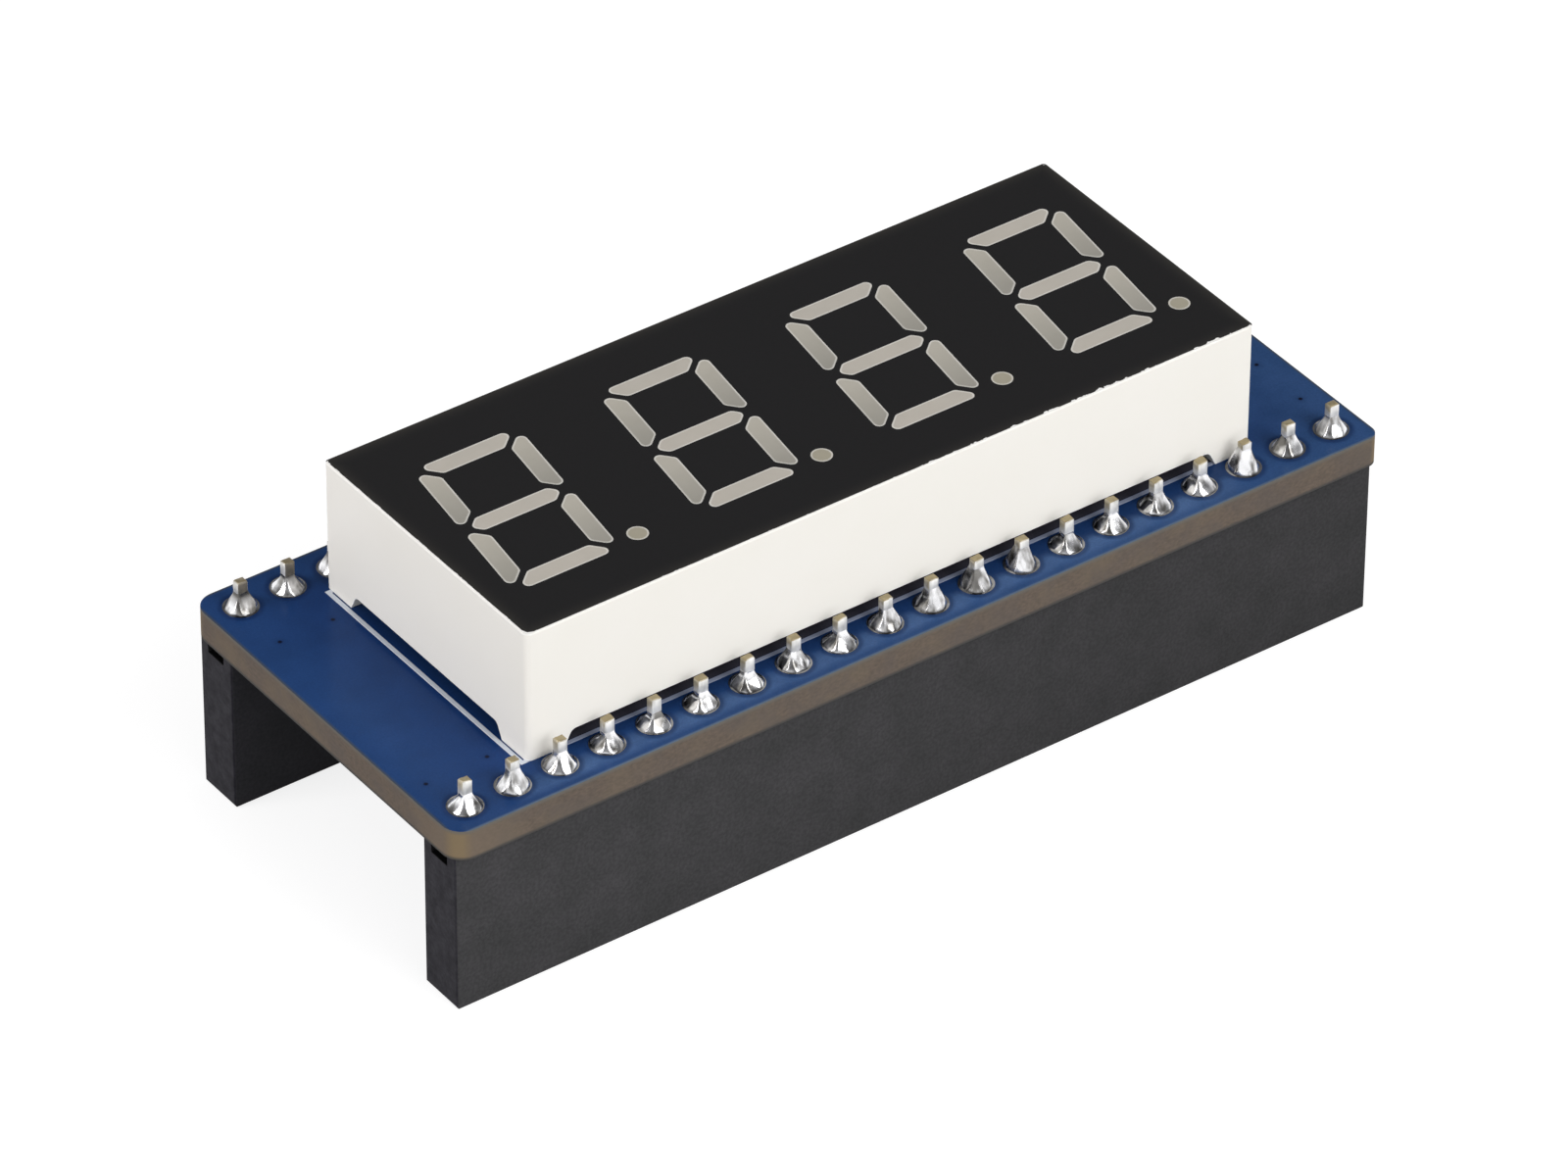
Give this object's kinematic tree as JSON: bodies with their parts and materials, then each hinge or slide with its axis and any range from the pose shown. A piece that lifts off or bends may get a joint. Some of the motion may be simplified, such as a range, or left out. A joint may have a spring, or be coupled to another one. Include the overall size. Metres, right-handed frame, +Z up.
{
  "type": "seven segment display module",
  "caption": "Plug-on display module: a slanted-digit seven segment display on a blue board with two header socket rows underneath.",
  "frame": {"origin": "middle of the footprint, on the surface that the feet of the two header housings stand on", "axes": "+X along the socket rows, from the first digit to the last; +Y from the front row, which the decimal points are nearer, to the rear row; +Z up out of the display's face"},
  "size_m": [0.0516, 0.021, 0.0171],
  "materials": {
    "board_laminate": "blue solder mask, satin, over a brown glass laminate",
    "header_plastic": "fine moulded charcoal",
    "contact_metal": "tin plate over bronze, cut ends bare",
    "solder": "bright",
    "display_plastic": "smooth warm white",
    "mask_print": "matt black print",
    "legend_ink": "pale printed line",
    "segment_resin": "cloudy grey, satin",
    "led_chip": "bare die",
    "display_laminate": "green solder mask",
    "potting_resin": "dark cast resin",
    "lead_metal": "tin plate",
    "register_plastic": "fine moulded black",
    "resistor_ceramic": "black glaze, tinned ends",
    "capacitor_ceramic": "tan, tinned ends"
  },
  "bodies": {
    "root": {"circuit_board": "board_laminate", "header_housing_front": "header_plastic", "header_housing_rear": "header_plastic", "contacts_front": "contact_metal", "contacts_rear": "contact_metal", "solder_front": "solder", "solder_rear": "solder", "display_housing": "display_plastic", "face_mask": "mask_print", "digit_1": "segment_resin", "digit_2": "segment_resin", "digit_3": "segment_resin", "digit_4": "segment_resin", "led_chips": "led_chip", "display_board": "display_laminate", "potting": "potting_resin", "display_leads": "lead_metal", "lead_solder": "solder", "shift_register_1": "register_plastic", "shift_register_2": "register_plastic", "register_leads_1": "lead_metal", "register_leads_2": "lead_metal", "resistor_1": "resistor_ceramic", "resistor_2": "resistor_ceramic", "resistor_3": "resistor_ceramic", "resistor_4": "resistor_ceramic", "resistor_5": "resistor_ceramic", "resistor_6": "resistor_ceramic", "resistor_7": "resistor_ceramic", "resistor_8": "resistor_ceramic", "capacitor_1": "capacitor_ceramic", "capacitor_2": "capacitor_ceramic", "chip_solder": "solder"}
  },
  "joints": []
}
